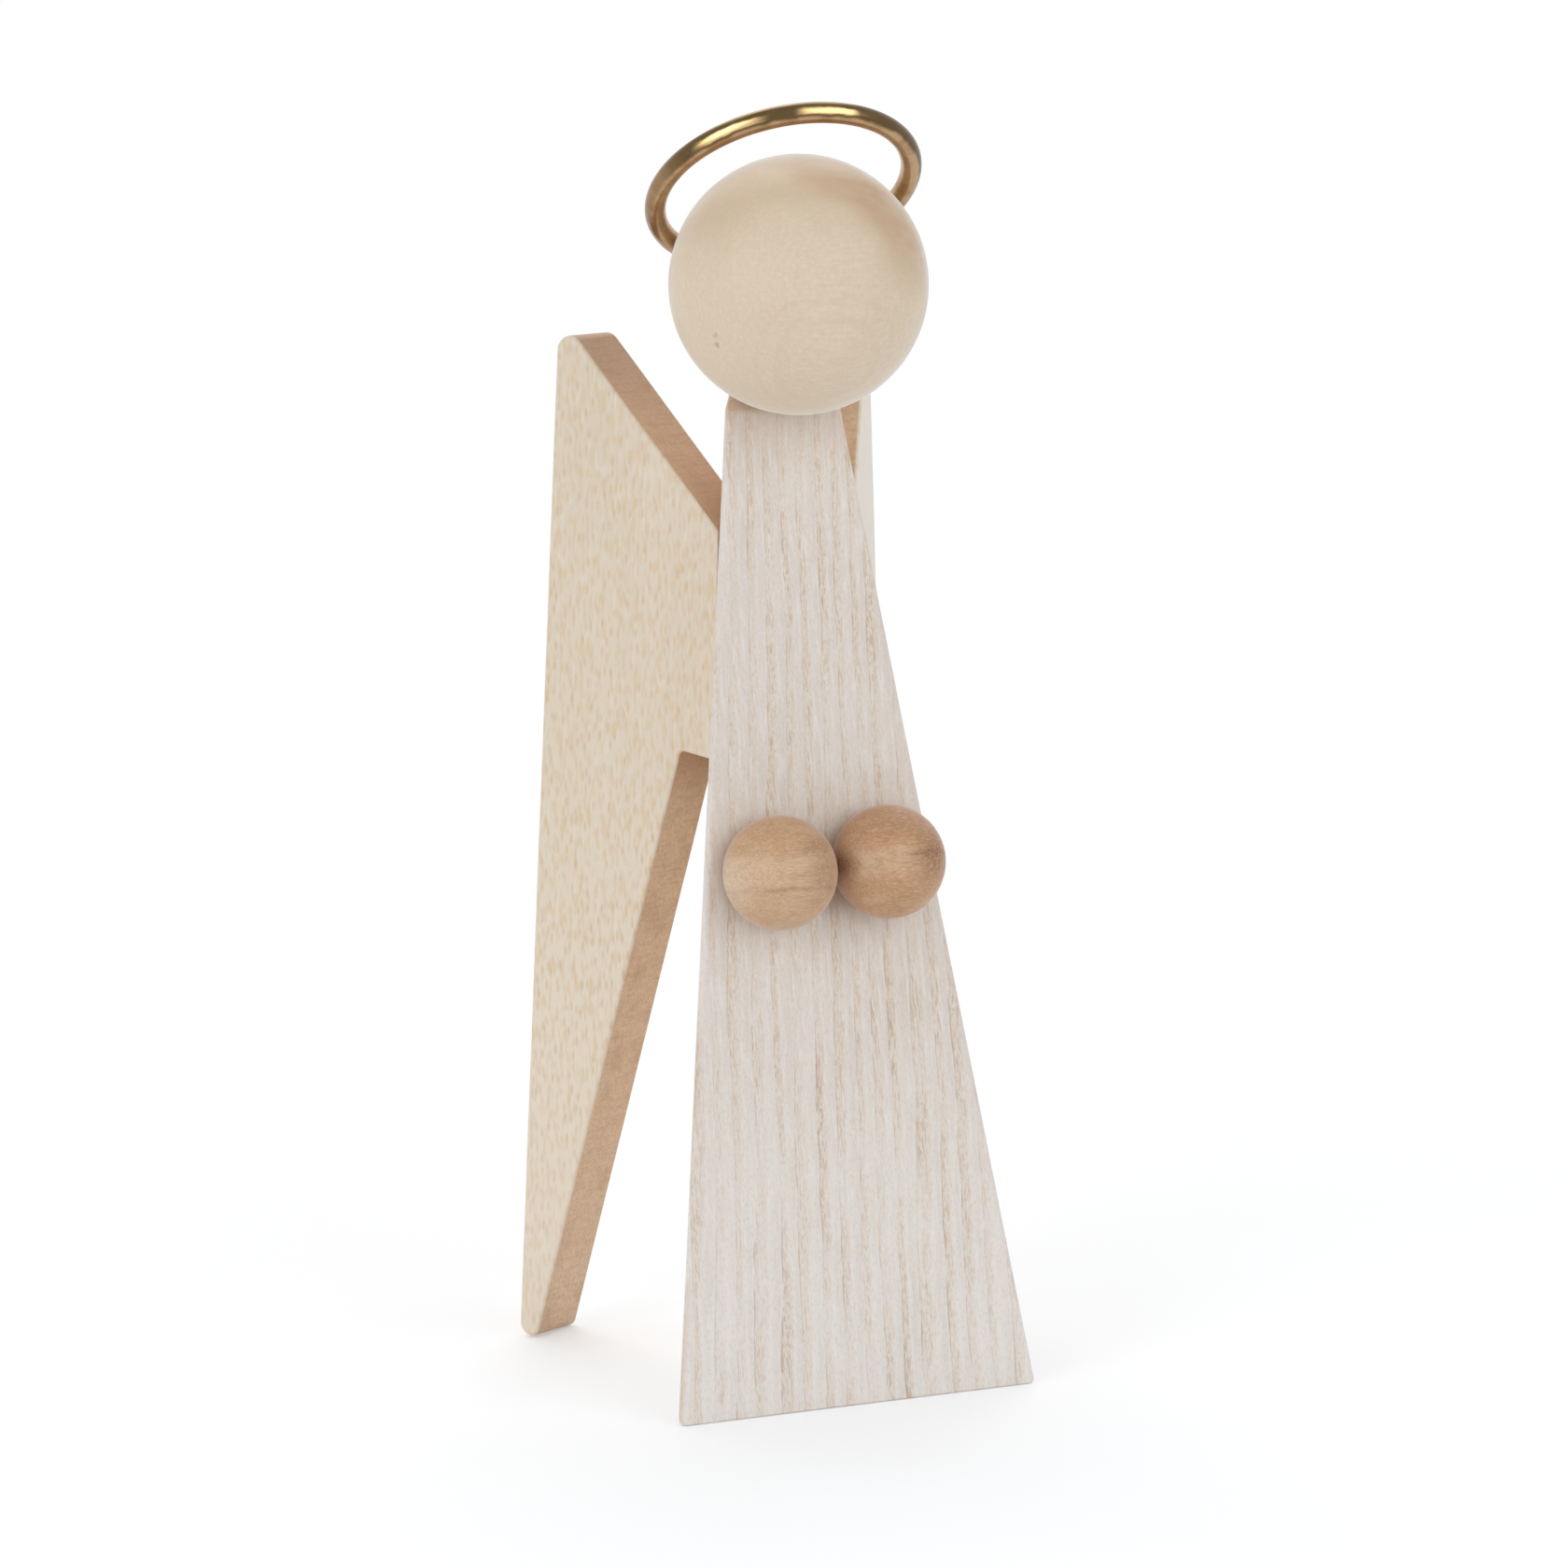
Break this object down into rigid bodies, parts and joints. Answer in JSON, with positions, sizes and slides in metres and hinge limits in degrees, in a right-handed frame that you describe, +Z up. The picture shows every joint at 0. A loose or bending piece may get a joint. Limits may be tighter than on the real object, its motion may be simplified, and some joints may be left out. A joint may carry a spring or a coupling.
{
  "type": "angel figurine",
  "caption": "Wooden angel ornament: pale wedge body, ball head and hands, board wings swept back and a brass wire halo.",
  "frame": {"origin": "middle of the body's flat foot, half-way between its front edge and its ridge, on the floor", "axes": "+Z up, the figure faces -Y, +X to the right of a viewer who faces the front"},
  "size_m": [0.0584, 0.0561, 0.1753],
  "materials": {
    "white_stained_ash": "white stain, matt",
    "pale_maple": "sanded, light oil",
    "aged_brass": "polished, aged",
    "oiled_beech": "sanded, light oil",
    "tan_oak": "sanded, light oil",
    "dowel_birch": "plain"
  },
  "bodies": {
    "root": {"body": "white_stained_ash", "head": "pale_maple", "halo": "aged_brass", "left_wing": "oiled_beech", "right_wing": "oiled_beech", "left_hand": "tan_oak", "right_hand": "tan_oak", "neck_dowel": "dowel_birch", "left_hand_dowel": "dowel_birch", "right_hand_dowel": "dowel_birch", "left_wing_dowel_low": "dowel_birch", "left_wing_dowel_high": "dowel_birch", "right_wing_dowel_low": "dowel_birch", "right_wing_dowel_high": "dowel_birch"}
  },
  "joints": []
}
